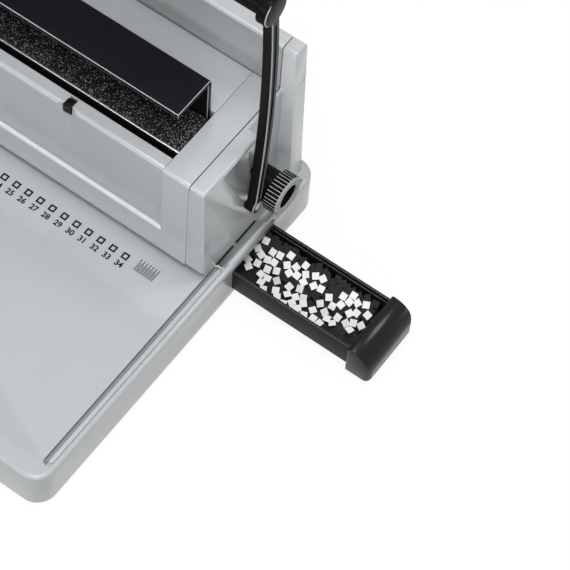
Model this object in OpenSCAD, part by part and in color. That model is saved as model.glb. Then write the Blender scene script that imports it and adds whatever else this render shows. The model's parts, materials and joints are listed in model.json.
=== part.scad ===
// Wire binding machine: a desk punch with a square-hole die row, a wire closer and a pull-out chip drawer.
// X runs along the machine, Y from the user to the back, Z up from the desk. Millimetres.

/* [Punching] */
// Number of square holes punched in one stroke
hole_count = 34; // [28:2:40]
// Distance from one hole to the next
hole_pitch = 8.4667; // [8:0.0001:9]
// Side of a square hole
hole_size = 4; // [3:0.1:4.4]
// Height of the paper throat above the tray
throat_h = 4.6; // [4.3:0.1:6]
// Downward travel of the punches
punch_stroke = 6.5; // [5:0.1:6.6]
// Thickness of the die plate
die_t = 4; // [2.5:0.1:4.3]
// Thickness of the guide plate over the throat
guide_t = 3; // [2:0.1:3.4]
// Distance from the paper edge to the middle of the holes
hole_margin = 3.5; // [2.5:0.1:5]

/* [Base] */
// Height of the tray above the desk
tray_h = 30; // [28:0.5:40]
// Depth of the base from front to back
base_d = 250; // [236:1:300]
// Wall thickness of the base moulding
base_wall = 3; // [2:0.1:3.5]
// Radius of the vertical corners of the base
base_corner_r = 12; // [6:0.5:20]
// Rounding of the top edge of the base
base_edge_r = 2.5; // [1:0.1:2.9]
// Width of the rim beside the housing
rim_w = 8.1; // [7.6:0.1:12]
// Width of the groove along the rim
groove_w = 2.5; // [1:0.1:3.5]
// Depth of the groove along the rim
groove_depth = 1.2; // [0.5:0.1:2]
// Height of the rubber feet
foot_h = 2.5; // [1.8:0.1:4]
// Diameter of the rubber feet
foot_d = 18; // [10:1:30]
// Thickness of the bottom plate
bottom_t = 1.5; // [1:0.1:2]

/* [Housing] */
// Height of the housing top above the tray
housing_h = 80; // [78:1:100]
// Wall thickness of the housing mouldings
cover_wall = 2.5; // [1.5:0.1:2.8]
// Distance from the rear cover to the back edge of the base
back_margin = 7; // [6:0.5:12]
// Depth of the housing from front to back
housing_d = 92; // [90:0.5:105]
// Height of the front band below the front panel
band_h = 20; // [12:0.5:26]
// How far the front panel lies behind the band
panel_inset = 2; // [0.8:0.1:2.5]
// Lean of the front from bottom to top
front_lean = 1.4; // [0:0.1:2]
// Lean of the sides from bottom to top
side_lean = 2.4; // [0:0.1:3.2]
// Width of an end cover at its foot
end_cover_w = 11.5; // [11:0.1:14]
// Rounding of the upright front corners
front_corner_r = 1.5; // [0.8:0.1:4]
// Depth of the rear wall from front to back
rear_wall_d = 10.5; // [8:0.5:12]
// Rise of the rear wall above the top of the housing
rear_wall_rise = 36; // [15:1:60]
// Gap between neighbouring covers
cover_gap = 0.3; // [0.2:0.05:0.5]

/* [Closer] */
// Depth of the top strip in front of the wire slot
strip_d = 9.2; // [8.5:0.1:9.4]
// Width of the wire slot
slot_w = 6; // [4.5:0.1:7]
// Depth of the wire slot
slot_depth = 21; // [10:0.5:24]
// Depth of the wire bed from front to back
bed_d = 27; // [24:0.5:27.5]
// Drop of the wire bed below the top of the housing
bed_drop = 3; // [1:0.1:4]
// Depth of the plate of the press bar
press_d = 29; // [22:0.5:29.5]
// Rise of the press bar above the top of the housing
press_rise = 28.5; // [22:0.5:34]
// Sheet thickness of the press bar
press_t = 3; // [1.5:0.1:3.4]
// Teeth of the press pinions
pinion_teeth = 26; // [22:1:26]
// Module of the press pinions
pinion_module = 1; // [0.9:0.05:1]

/* [Lever] */
// Height of the lever pivot above the tray
pivot_h = 30; // [29:0.5:32]
// Distance from the punch line back to the lever pivot
pivot_back = 15.5; // [15:0.1:17]
// Swing of the lever in degrees
lever_swing = 85; // [50:1:88]
// Radius of the bow of the lever arms
bow_r = 760; // [600:10:900]
// Length of the lever arms from pivot to crossbar
arm_len = 170; // [140:1:200]
// Width of the lever arms
arm_w = 5.8; // [5:0.1:7]
// Thickness of the lever arms
arm_t = 6.2; // [4:0.1:7]
// Diameter of the drive shaft
shaft_d = 12; // [10:0.1:13]
// Diameter of the shaft ends that carry the arms
spigot_d = 5.6; // [4:0.1:6]
// Diameter of the lever crossbar
crossbar_d = 12; // [8:0.5:16]
// Diameter of the lever grip
grip_d = 26; // [20:0.5:34]

/* [Size knob] */
// Radius of the wire size knob
knob_r = 12.2; // [9:0.1:14]
// Width of the wire size knob
knob_w = 8.7; // [6:0.1:12]
// Number of flutes round the knob
knob_flutes = 34; // [24:1:40]
// Distance from the lever pivot back to the knob
knob_back = 15.5; // [15.3:0.1:17]
// Radius of the knob hub
hub_r = 9.6; // [7:0.1:9.8]
// Diameter of the knob stud
stud_d = 6; // [4:0.1:8]

/* [Chip drawer] */
// Width of the drawer
drawer_w = 39; // [30:0.5:42]
// Height of the drawer walls
drawer_h = 17; // [10:0.5:17.5]
// Wall thickness of the drawer
drawer_wall = 1.8; // [1.2:0.1:2.5]
// How far the drawer stands open
drawer_open = 77.5; // [30:0.5:100]
// Length of the drawer handle
handle_len = 15.7; // [12:0.1:20]
// How far the handle stands out round the drawer
handle_lip = 1.8; // [1.2:0.1:3]

/* [Paper guide] */
// Width of the paper that the edge guide is set to
paper_w = 297; // [270:0.5:298]
// Length of the edge guide
guide_len = 46; // [30:1:60]
// Height of the edge guide
guide_h = 9; // [6:0.5:14]

/* [Hidden] */
$fn = 64;

// Clearances: a fixed fit, a running fit, a sliding gap and the overlap that keeps a cut clean
fit = 0.02;
run = 0.05;
slide = 0.3;
eps = 0.1;

// Colours of the finishes
silver_paint = "#b9bdbf";
black_plastic = "#1d1e20";
bright_steel = "#c9cccf";
plain_steel = "#8f9499";
rubber_grey = "#2b2b2b";

// Places along X, from the middle outwards
row_half = (hole_count - 1) * hole_pitch / 2;
bar_end = 11.3;
bar_half = row_half + bar_end;
cam_w = 6;
cam_x = bar_half + 1;
tongue_half = cam_x + cam_w + 2;
pinion_w = 5;
pinion_x = tongue_half + 0.6;
frame_t = 3;
frame_x = pinion_x + pinion_w + 1.9;
cover_x = frame_x + frame_t + 0.5;
side_x = cover_x + end_cover_w;
base_half = side_x + rim_w;
bed_half = bar_half + 1.8;
block_x = bed_half + 0.5;
arm_x = side_x - 0.3;
arm_out = arm_x + arm_t;
knob_x = arm_out + 0.4;

// Places along Y, from the user to the back
base_front = -base_d / 2;
back_y = base_d / 2 - back_margin;
front_y = back_y - housing_d;
line_y = front_y + 26;
pivot_y = line_y + pivot_back;
knob_y = pivot_y + knob_back;
panel_y = front_y + panel_inset;
slot_y = front_y + front_lean + strip_d;
bed_y = slot_y + slot_w;
bed_back = bed_y + bed_d;
leg_y = bed_back + 0.6;
cover_y = leg_y + press_t + 0.6;
rear_y = back_y - rear_wall_d;
pocket_y = pivot_y + 8.5;
drawer_y = line_y - 8.7;

// Places along Z, from the desk up
tray_z = tray_h;
shell_z = foot_h;
guide_z = tray_z + throat_h;
guide_top = guide_z + guide_t;
top_z = tray_z + housing_h;
band_z = guide_z + 0.4;
band_top = band_z + band_h;
bed_z = top_z - bed_drop;
pivot_z = tray_z + pivot_h;
knob_z = pivot_z - 1;
drawer_z = shell_z + bottom_t + 4;
drawer_top = drawer_z + drawer_h;
press_z = top_z + press_rise;

// Draws a profile given in Y and Z along X
module along_x(x0, x1) { translate([x0, 0, 0]) rotate([90, 0, 90]) linear_extrude(x1 - x0) children(); }

// Draws a profile given in X and Z along Y
module along_y(y0, y1) { translate([0, y1, 0]) rotate([90, 0, 0]) linear_extrude(y1 - y0) children(); }

// Draws a profile given in X and Y along Z
module along_z(z0, z1) { translate([0, 0, z0]) linear_extrude(z1 - z0) children(); }

// A rod along X
module rod_x(x0, x1, y, z, r) { translate([x0, y, z]) rotate([0, 90, 0]) cylinder(r = r, h = x1 - x0); }

// A block between two corners
module block(a, b) { translate(a) cube(b - a); }

// A piece and its mirror image on the other side of the machine
module both_sides() { children(); mirror([1, 0, 0]) children(); }

// A rectangle between two corners with round corners
module round_rect(a, b, r) {
  translate([a[0] + r, a[1]]) square([b[0] - a[0] - 2 * r, b[1] - a[1]]);
  translate([a[0], a[1] + r]) square([b[0] - a[0], b[1] - a[1] - 2 * r]);
  for (x = [a[0] + r, b[0] - r], y = [a[1] + r, b[1] - r]) translate([x, y]) circle(r);
}

// The sliver outside a rounded corner at p; the solid lies on the side that d points to
module corner_off(p, d, r) {
  translate([p[0] + d[0] * r, p[1] + d[1] * r]) difference() {
    translate([d[0] > 0 ? -r - eps : 0, d[1] > 0 ? -r - eps : 0]) square(r + eps);
    circle(r);
  }
}

// A slab with round upright corners and a rounded top edge
module soft_slab(half_w, y0, y1, z0, z1, r, edge) {
  module section(w0, w1) {
    difference() {
      translate([w0, z0]) square([w1 - w0, z1 - z0]);
      corner_off([w0, z1], [1, -1], edge);
      corner_off([w1, z1], [-1, -1], edge);
    }
  }
  along_x(-half_w + r, half_w - r) section(y0, y1);
  along_y(y0 + r, y1 - r) section(-half_w, half_w);
  for (x = [-half_w + r, half_w - r], y = [y0 + r, y1 - r]) translate([x, y, 0]) rotate_extrude()
    intersection() {
      section(-r, r);
      translate([0, z0]) square([r, z1 - z0]);
    }
}

// Base: tray moulding, bottom plate, feet, screws and drawer rails

boss_x = base_half - 34;
boss_y = base_d / 2 - 22;
boss_r = 4.5;
screw_r = 1.5;
screw_head_h = 1.4;
screw_grip = 10;
cross_half = [1.8, 0.35];
cross_depth = 0.7;
foot_edge = 1;
foot_inset = 20;
slot_end_x = tongue_half + 1;
die_half_d = 7;
rim_end_y = front_y + 12.4;
channel_in = 0.5;
channel_w = 6;
tongue_w = 2.4;
trough_w = 6;
trough_depth = 0.6 * base_wall;
trough_r = (trough_w * trough_w / 4 + trough_depth * trough_depth) / (2 * trough_depth);
trough_x = side_x - 1 + trough_w / 2;
trough_front = rim_end_y + 1 + trough_w / 2;
guide_slot_w = 6;
guide_x = -paper_w / 2;
guide_slot_x = guide_x - 12;
guide_y = front_y - 46;
guide_travel = 12;

module base_tray() color(silver_paint) difference() {
  soft_slab(base_half, base_front, -base_front, shell_z, tray_z, base_corner_r, base_edge_r);
  // hollow from below, with the screw bosses left standing
  difference() {
    along_z(shell_z - eps, tray_z - base_wall)
      round_rect([-base_half + base_wall, base_front + base_wall],
        [base_half - base_wall, -base_front - base_wall], base_corner_r - base_wall);
    for (x = [-boss_x, boss_x], y = [-boss_y, boss_y])
      translate([x, y, shell_z + bottom_t]) cylinder(r = boss_r, h = tray_z);
  }
  for (x = [-boss_x, boss_x], y = [-boss_y, boss_y])
    translate([x, y, 0]) cylinder(r = screw_r + fit, h = tray_z - base_wall);
  // window for the die plate
  block([-slot_end_x - slide, line_y - die_half_d - slide, tray_z - die_t - eps],
    [slot_end_x + slide, line_y + die_half_d + slide, tray_z + eps]);
  // mouth of the drawer in the right wall
  block([base_half - base_wall - eps, drawer_y - slide, drawer_z - slide],
    [base_half + eps, drawer_y + drawer_w + slide, drawer_top + slide]);
  // channel along each rim, round at its ends, with a tongue left standing in it
  both_sides() along_z(tray_z - groove_depth, tray_z + eps) difference() {
    round_rect([side_x - channel_in, base_front + base_corner_r],
      [side_x - channel_in + channel_w, rim_end_y], channel_w / 2 - eps);
    round_rect([side_x - channel_in + groove_w, base_front + base_corner_r + groove_w],
      [side_x - channel_in + groove_w + tongue_w, rim_end_y - groove_w], tongue_w / 2 - eps);
  }
  // hollow between the end covers and the rim, with a round front end
  both_sides() along_y(trough_front, -base_front - base_corner_r)
    translate([trough_x, tray_z + trough_r - trough_depth]) circle(trough_r);
  both_sides() translate([trough_x, trough_front, tray_z + trough_r - trough_depth]) sphere(trough_r);
  // slot of the edge guide
  along_z(tray_z - base_wall - eps, tray_z + eps)
    round_rect([guide_slot_x - 22, guide_y - guide_slot_w / 2],
      [guide_slot_x + 22, guide_y + guide_slot_w / 2], 2.9);
}

module bottom_plate() color(plain_steel) difference() {
  along_z(shell_z, shell_z + bottom_t)
    round_rect([-base_half + base_wall + slide, base_front + base_wall + slide],
      [base_half - base_wall - slide, -base_front - base_wall - slide], base_corner_r - base_wall);
  for (x = [-boss_x, boss_x], y = [-boss_y, boss_y])
    translate([x, y, 0]) cylinder(r = screw_r + 0.2, h = tray_z);
}

module foot() {
  cylinder(r1 = foot_d / 2 - foot_edge, r2 = foot_d / 2, h = foot_edge);
  translate([0, 0, foot_edge]) cylinder(r = foot_d / 2, h = foot_h - foot_edge);
}

// One foot near each corner and one under the middle
module rubber_feet() color(rubber_grey) {
  foot();
  for (x = [-boss_x + foot_inset, boss_x - foot_inset], y = [-boss_y, boss_y]) translate([x, y, 0]) foot();
}

module bottom_screws() color(bright_steel)
  for (x = [-boss_x, boss_x], y = [-boss_y, boss_y]) translate([x, y, 0]) difference() {
    union() {
      translate([0, 0, shell_z - screw_head_h]) cylinder(r = 2 * screw_r, h = screw_head_h);
      translate([0, 0, shell_z]) cylinder(r = screw_r, h = bottom_t + screw_grip);
    }
    for (a = [0, 90]) rotate(a) block([-cross_half[0], -cross_half[1], shell_z - screw_head_h - eps],
      [cross_half[0], cross_half[1], shell_z - screw_head_h + cross_depth]);
  }

rail_t = 1.6;
rail_w = 6;
rail_h = 9;

module drawer_rails() color(plain_steel)
  for (y = [drawer_y - slide - rail_t, drawer_y + drawer_w + slide + rail_t]) {
    inward = y < drawer_y ? 1 : -1;
    along_x(-base_half + 2 * base_wall, base_half - base_wall - slide) polygon([[y, shell_z + bottom_t],
      [y + inward * rail_w, shell_z + bottom_t], [y + inward * rail_w, drawer_z - slide],
      [y + inward * rail_t, drawer_z - slide], [y + inward * rail_t, drawer_z + rail_h], [y, drawer_z + rail_h]]);
  }

// Punch set: die plate, guide plate, back stop, punch bar, punches and return springs

module hole_row(z0, z1, size) for (i = [0:hole_count - 1])
  translate([-row_half + i * hole_pitch, line_y, (z0 + z1) / 2]) cube([size, size, z1 - z0], center = true);

die_clear = 0.1;
guide_front = front_y + cover_wall + 2.2;
guide_half = tongue_half;
guide_leg = 8;
stop_t = 3;
spring_x = row_half + 7;
spring_r = 3.2;
wire_r = 0.5;
bar_z = guide_top + punch_stroke + 0.9;
bar_h = 12;
tongue_h = 5.5;
bar_half_d = 6;
spring_top = bar_z + bar_h - 2;

module die_plate() color(bright_steel) difference() {
  block([-slot_end_x, line_y - die_half_d, tray_z - die_t], [slot_end_x, line_y + die_half_d, tray_z]);
  hole_row(tray_z - die_t - eps, tray_z + eps, hole_size + 2 * die_clear);
}

module punch_guide() color(plain_steel) difference() {
  union() {
    block([-guide_half, guide_front, guide_z], [guide_half, line_y + die_half_d + 1, guide_top]);
    both_sides() block([slot_end_x - guide_leg, guide_front + guide_leg, tray_z],
      [guide_half, line_y + die_half_d, guide_z]);
  }
  hole_row(guide_z - eps, guide_top + eps, hole_size + 2 * die_clear);
}

module back_stop() color(plain_steel)
  block([-slot_end_x + guide_leg, line_y + hole_margin, tray_z],
    [slot_end_x - guide_leg, line_y + hole_margin + stop_t, guide_z]);

module punch_bar() color(plain_steel) difference() {
  union() {
    block([-bar_half, line_y - bar_half_d, bar_z], [bar_half, line_y + bar_half_d, bar_z + bar_h]);
    both_sides() block([bar_half - eps, line_y - bar_half_d, bar_z], [tongue_half, pivot_y, bar_z + tongue_h]);
  }
  both_sides() translate([spring_x, line_y, bar_z - eps]) cylinder(r = spring_r + 0.9, h = bar_h - 2 + eps);
}

module punch_pins() color(bright_steel) hole_row(guide_z + 0.4, bar_z, hole_size);

// One spring: an open helix of round wire with 6 sides, between the guide plate and the bar
coil_turns = 5;
rings_per_turn = 8;
spring_low = guide_top + wire_r;
spring_high = spring_top - wire_r;
function coil_at(i) = let (a = 360 * i / rings_per_turn)
  [spring_r * cos(a), spring_r * sin(a), spring_low + (spring_high - spring_low) * i / (coil_turns * rings_per_turn)];
coil_rings = [for (i = [0:coil_turns * rings_per_turn]) let (a = 360 * i / rings_per_turn, c = coil_at(i))
  for (k = [0:5]) c + wire_r * [cos(60 * k) * cos(a), cos(60 * k) * sin(a), sin(60 * k)]];
coil_last = coil_turns * rings_per_turn * 6;
coil_faces = concat([for (i = [0:coil_turns * rings_per_turn - 1], k = [0:5])
    let (p = i * 6 + k, q = i * 6 + (k + 1) % 6) each [[p, p + 6, q], [q, p + 6, q + 6]]],
  [for (k = [1:4]) [0, k, k + 1]], [for (k = [1:4]) [coil_last, coil_last + k + 1, coil_last + k]]);
echo(least_coil_gap = (spring_high - spring_low) / coil_turns - 2 * wire_r);

module return_springs() color(bright_steel)
  for (x = [-spring_x, spring_x]) translate([x, line_y, 0]) polyhedron(coil_rings, coil_faces);

// Drive: shaft, cams that push the punches and pinions that pull the press bar down

cam_rate = punch_stroke / (lever_swing * PI / 180);
cam_low = pivot_z - (bar_z + tongue_h) - slide;
shaft_r = shaft_d / 2;
// Contact point of a flat follower at lever angle a, turned back to the rest pose
function cam_point(a) = let (h = cam_low + cam_rate * a * PI / 180)
  [-cam_rate * cos(a) - h * sin(a), cam_rate * sin(a) - h * cos(a)];
cam_outline = [for (a = [-10:5:lever_swing + 5]) cam_point(a)];

module punch_cams() color(plain_steel) both_sides() difference() {
  along_x(cam_x, cam_x + cam_w) translate([pivot_y, pivot_z]) {
    polygon(concat([[2, 0]], cam_outline, [[0, shaft_r + 1]]));
    circle(shaft_r + 2);
  }
  rod_x(cam_x - eps, cam_x + cam_w + eps, pivot_y, pivot_z, shaft_r + fit);
}

pitch_r = pinion_teeth * pinion_module / 2;
pressure = 20;
base_r = pitch_r * cos(pressure);
tip_r = pitch_r + pinion_module;
root_r = pitch_r - 1.25 * pinion_module;
backlash = 0.6;
function inv_deg(r) = let (c = acos(base_r / r)) tan(c) * 180 / PI - c;
half_tooth = 90 / pinion_teeth - backlash / pitch_r * 45 / PI + inv_deg(pitch_r);
tooth_radii = [for (i = [0:4]) base_r + (tip_r - base_r) * i / 4];
tooth_flank = [for (r = tooth_radii) [r, half_tooth - inv_deg(r)]];
tooth_outline = concat([[root_r - 0.5, tooth_flank[0][1]]], tooth_flank,
  [for (i = [4:-1:0]) [tooth_flank[i][0], -tooth_flank[i][1]]], [[root_r - 0.5, -tooth_flank[0][1]]]);

// The tooth that meshes with the rack points to the front, at 180 degrees
module pinion_profile() {
  circle(root_r);
  for (i = [0:pinion_teeth - 1]) rotate(180 + i * 360 / pinion_teeth)
    polygon([for (p = tooth_outline) [p[0] * cos(p[1]), p[0] * sin(p[1])]]);
}

module press_pinions() color(plain_steel) both_sides() difference() {
  along_x(pinion_x, pinion_x + pinion_w) translate([pivot_y, pivot_z]) pinion_profile();
  rod_x(pinion_x - eps, pinion_x + pinion_w + eps, pivot_y, pivot_z, shaft_r + fit);
}

module drive_shaft() color(bright_steel) {
  rod_x(-cover_x + slide, cover_x - slide, pivot_y, pivot_z, shaft_r);
  rod_x(-arm_out, arm_out, pivot_y, pivot_z, spigot_d / 2);
}

// Frame: two side plates, tie rods, bushes and the stud of the knob

bush_r = shaft_r + 3;
rod_r = 4;
rod_front = [front_y + 12, pivot_z + 10];
rod_rear = [rear_y - 10, tray_z + 16];

module side_frame() color(plain_steel) difference() {
  along_x(frame_x, frame_x + frame_t)
    round_rect([front_y + cover_wall + 3, tray_z], [rear_y - 1, top_z - cover_wall - slide], 5);
  rod_x(frame_x - eps, cover_x, pivot_y, pivot_z, bush_r + fit);
  rod_x(frame_x - eps, cover_x, knob_y, knob_z, stud_d / 2 + fit);
  for (p = [rod_front, rod_rear]) rod_x(frame_x - eps, cover_x, p[0], p[1], rod_r / 2 + fit);
}

module right_side_frame() side_frame();
module left_side_frame() mirror([1, 0, 0]) side_frame();

module tie_rods() color(plain_steel) for (p = [rod_front, rod_rear]) {
  rod_x(-frame_x, frame_x, p[0], p[1], rod_r);
  rod_x(-frame_x - frame_t, frame_x + frame_t, p[0], p[1], rod_r / 2);
}

module shaft_bushes() color("#a58a4a") both_sides() difference() {
  union() {
    rod_x(frame_x, frame_x + frame_t, pivot_y, pivot_z, bush_r);
    rod_x(frame_x - 1, frame_x, pivot_y, pivot_z, bush_r + 1.5);
  }
  rod_x(frame_x - 2, cover_x, pivot_y, pivot_z, shaft_r + run);
}

module knob_stud() color(bright_steel) {
  rod_x(frame_x, knob_x + 2, knob_y, knob_z, stud_d / 2);
  rod_x(frame_x - 1.2, frame_x, knob_y, knob_z, stud_d / 2 + 1.5);
}

// Housing: band with end blocks, front cover, top cover, rear cover and end covers

end_seam = 0.7;
panel_inset_top = 0.7;
edge_r = 2.5;
function front_at(z) = front_y + front_lean * (z - tray_z) / housing_h;
panel_low = front_at(band_top) + panel_inset;
panel_high = front_at(top_z) + panel_inset_top;
housing_half = cover_x - end_seam;
ledge_h = 2.5;
bed_t = 3;

module housing() color(silver_paint) {
  along_x(-housing_half, housing_half) polygon([[front_at(band_z), band_z], [front_at(band_top), band_top - 2],
    [panel_low, band_top], [panel_low + cover_wall, band_top], [panel_low + cover_wall, band_top - 2],
    [front_at(band_top) + cover_wall, band_top - 4], [front_at(band_z) + cover_wall, band_z]]);
  both_sides() {
    along_x(block_x, housing_half) difference() {
      polygon([[front_at(band_z), band_z], [front_at(top_z), top_z], [rear_y - cover_gap, top_z],
        [rear_y - cover_gap, top_z - cover_wall], [front_at(top_z) + cover_wall, top_z - cover_wall],
        [front_at(band_z) + cover_wall, band_z]]);
      corner_off([front_at(top_z), top_z], [1, -1], edge_r);
    }
    block([block_x, slot_y - 4, bed_z - bed_t - ledge_h], [block_x + cover_wall, rear_y - cover_gap, top_z - 1]);
    block([bed_half - 2, bed_y + 4, bed_z - bed_t - ledge_h], [block_x + eps, bed_back, bed_z - bed_t]);
  }
}

// The latch tab sits in a notch of the front cover, on a pivot between two ears
latch_x = 89 * row_half / 139.7;
latch_w = 4.2;
latch_rise = 1.8;
latch_r = 1.6;
latch_y = slot_y - 4;
latch_z = top_z - 2.8;
latch_front = panel_high - 1.6;
latch_back = latch_y + latch_r;
trunnion_r = 1.2;
ear_w = 3;

module front_cover() color(silver_paint) difference() {
  union() {
    along_x(-block_x + cover_gap, block_x - cover_gap) difference() {
      polygon([[panel_low, band_top + cover_gap], [panel_high, top_z], [slot_y, top_z],
        [slot_y, top_z - cover_wall], [panel_high + cover_wall, top_z - cover_wall],
        [panel_low + cover_wall, band_top + cover_gap]]);
      corner_off([panel_high, top_z], [1, -1], edge_r);
    }
    for (s = [-1, 1]) translate([latch_x + s * (latch_w / 2 + slide + ear_w / 2), 0, 0])
      block([-ear_w / 2, panel_high + cover_wall - eps, top_z - 7], [ear_w / 2, slot_y - 1.6, top_z - 1]);
  }
  block([latch_x - latch_w / 2 - slide, panel_high - 1, top_z - 8],
    [latch_x + latch_w / 2 + slide, slot_y - 0.9, top_z + 1]);
  rod_x(latch_x - latch_w - ear_w, latch_x + latch_w + ear_w, latch_y, latch_z, trunnion_r + run);
  // finger scoop that fades out down the front
  translate([latch_x, panel_high - 8.6, top_z - 8]) rotate([-4.5, 0, 0])
    translate([0, 0, -40]) cylinder(r = 10.4, h = 60);
}

// A finger tab, round at both ends, that stands out over the scoop
module cover_latch() color(black_plastic) {
  intersection() {
    along_x(latch_x - latch_w / 2, latch_x + latch_w / 2) {
      translate([latch_y, latch_z]) circle(latch_r);
      round_rect([latch_front, latch_z - 0.4], [latch_back, top_z + latch_rise], 1.9);
    }
    along_z(latch_z - ear_w, top_z + latch_rise + 1)
      round_rect([latch_x - latch_w / 2, latch_front], [latch_x + latch_w / 2, latch_back], latch_w / 2 - eps);
  }
  rod_x(latch_x - latch_w / 2 - ear_w, latch_x + latch_w / 2 + ear_w, latch_y, latch_z, trunnion_r);
}

// Height of the top cover's front skirt
skirt_h = 9;

module top_cover() color(silver_paint) along_x(-block_x + cover_gap, block_x - cover_gap) difference() {
  polygon([[cover_y, top_z - skirt_h], [cover_y, top_z], [rear_y - cover_gap, top_z],
    [rear_y - cover_gap, top_z - cover_wall], [cover_y + cover_wall, top_z - cover_wall],
    [cover_y + cover_wall, top_z - skirt_h]]);
  corner_off([cover_y, top_z], [1, -1], 1);
}

rear_top = top_z + rear_wall_rise;

module rear_cover() color(silver_paint) along_x(-housing_half, housing_half) difference() {
  union() {
    translate([back_y - cover_wall, tray_z]) square([cover_wall, rear_top - tray_z]);
    translate([rear_y, rear_top - cover_wall]) square([rear_wall_d, cover_wall]);
    translate([rear_y, top_z - 8]) square([cover_wall, rear_top - top_z + 8]);
  }
  corner_off([rear_y, rear_top], [1, -1], cover_wall - 0.3);
  corner_off([back_y, rear_top], [-1, -1], cover_wall - 0.3);
}

// An end cover: front part with a slanting ridge, open lever pocket and raised rear column
cover_z = tray_z + 0.2;
plate_t = 2;
ridge_top = [front_y + 15, top_z - 3];
ridge_foot = [pocket_y + 3, tray_z + 3];
ridge_a = atan((ridge_foot[0] - ridge_top[0]) / (ridge_top[1] - ridge_foot[1]));
wedge_depth = end_cover_w - side_lean - plate_t - 0.4;
wedge_run = 20;
lean_a = atan(side_lean / housing_h);
vent_h = 1.6;
vent_depth = 7;
vents = [[12.5, 16], [30.5, 18.5]];
underside = [5, 6.4];
throat_end = 5.4;
lip_t = 3;

module side_lean_cut(z1) polygon([[side_x, cover_z - 1], [side_x + 9, cover_z - 1], [side_x + 9, z1],
  [side_x - side_lean * (z1 - tray_z) / housing_h, z1], [side_x, tray_z]]);

module end_cover(hub_room) color(silver_paint) difference() {
  along_x(cover_x, side_x) difference() {
    polygon([[front_at(cover_z), cover_z], [front_at(top_z), top_z], [rear_y, top_z], [rear_y, rear_top],
      [back_y, rear_top], [back_y, cover_z]]);
    corner_off([front_at(top_z), top_z], [1, -1], edge_r);
    corner_off([rear_y, rear_top], [1, -1], cover_wall - 0.3);
    corner_off([back_y, rear_top], [-1, -1], cover_wall - 0.3);
  }
  // lean of the outer face, soft outer edge and round front corner
  along_y(front_y - 1, back_y + 1) side_lean_cut(rear_top + 1);
  along_y(front_y - 1, rear_y - 1) corner_off([side_x - side_lean, top_z], [-1, -1], 1.6);
  translate([side_x, front_y, tray_z]) rotate([-atan(front_lean / housing_h), -lean_a, 0])
    translate([-side_x, -front_y, 0]) along_z(-5, housing_h + 5) corner_off([side_x, front_y], [-1, 1], front_corner_r);
  // wedge behind the slanting ridge, and the lever pocket
  intersection() {
    translate([side_x - side_lean * 0.55, ridge_top[0], ridge_top[1]]) rotate([ridge_a, 0, 0])
      along_z(-2 * housing_h, housing_h) polygon([[4, -4 * wedge_run / wedge_depth], [-wedge_depth, wedge_run],
        [-wedge_depth, housing_d], [end_cover_w, housing_d], [end_cover_w, -4 * wedge_run / wedge_depth]]);
    block([cover_x + plate_t, front_y, cover_z + 1], [side_x + end_cover_w, pocket_y + 1, top_z - lip_t]);
  }
  block([cover_x + plate_t, pocket_y, tray_z + 3], [side_x + 1, rear_y, top_z + 1]);
  // room for the shaft end and the knob hub
  rod_x(cover_x - eps, side_x + 1, pivot_y, pivot_z, spigot_d / 2 + 0.6);
  if (hub_room) rod_x(cover_x - eps, side_x + 1, knob_y, knob_z, hub_r + 0.6);
  // air slits along the foot and the joint line on the rear column
  for (v = vents) block([side_x - vent_depth, front_y + v[0], cover_z - 1],
    [side_x + 1, front_y + v[0] + v[1], cover_z + vent_h]);
  // slanting underside of the front edge, where the paper throat ends
  along_x(cover_x - 1, side_x + 1) polygon([[front_y - 1, cover_z - 1], [front_y + underside[0], cover_z - 1],
    [front_y + underside[0], cover_z], [front_at(cover_z + underside[1]) - eps, cover_z + underside[1]],
    [front_y - 1, cover_z + underside[1]]]);
  block([cover_x - eps, front_y - 1, cover_z - 1], [cover_x + throat_end, front_y + 2 * underside[0], guide_z]);
  block([side_x - side_lean - 1.2, rear_y + 1.5, top_z + 6], [side_x + 1, back_y + 1, top_z + 6.6]);
}

module right_end_cover() end_cover(true);
module left_end_cover() mirror([1, 0, 0]) end_cover(false);

// Wire closer: slot, bed, bright edge, press bar and its racks

slot_t = 1.2;
slot_floor = top_z - slot_depth;

module wire_slot() color(black_plastic) along_x(-bed_half, bed_half) {
  translate([slot_y - slot_t, slot_floor - slot_t]) square([slot_w + 2 * slot_t, slot_t]);
  translate([slot_y - slot_t, slot_floor - slot_t]) square([slot_t, slot_depth + slot_t - cover_wall - eps]);
  translate([bed_y, slot_floor - slot_t]) square([slot_t, slot_depth + slot_t - bed_drop - 1.4]);
}

module bed_edge() color(bright_steel)
  block([-bed_half, bed_y, bed_z - 1.4], [bed_half, bed_y + slot_t, bed_z + 0.4]);

module wire_bed() color(black_plastic)
  block([-bed_half, bed_y + slot_t, bed_z - bed_t], [bed_half, bed_back, bed_z]);

press_half = bed_half - 2.3;
link_h = 6;
link_z = bed_z - bed_t - ledge_h - 1.5 - link_h;
leg_back = leg_y + press_t;

module press_bar() color(black_plastic) along_x(-press_half, press_half) difference() {
  union() {
    translate([leg_back - press_d, press_z - press_t]) square([press_d, press_t]);
    translate([leg_y, link_z - 2]) square([press_t, press_z - link_z + 2]);
  }
  corner_off([leg_back, press_z], [-1, -1], press_t - 0.2);
}

rack_y = pivot_y - pitch_r;
rack_step = PI * pinion_module;
rack_root = rack_y - 1.25 * pinion_module;
rack_tip = rack_y + pinion_module;
rack_back = rack_root - 6;
rack_low = pivot_z - 7;
tooth_mid = rack_step / 4 - backlash / 4;
rack_teeth = 11;

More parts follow.
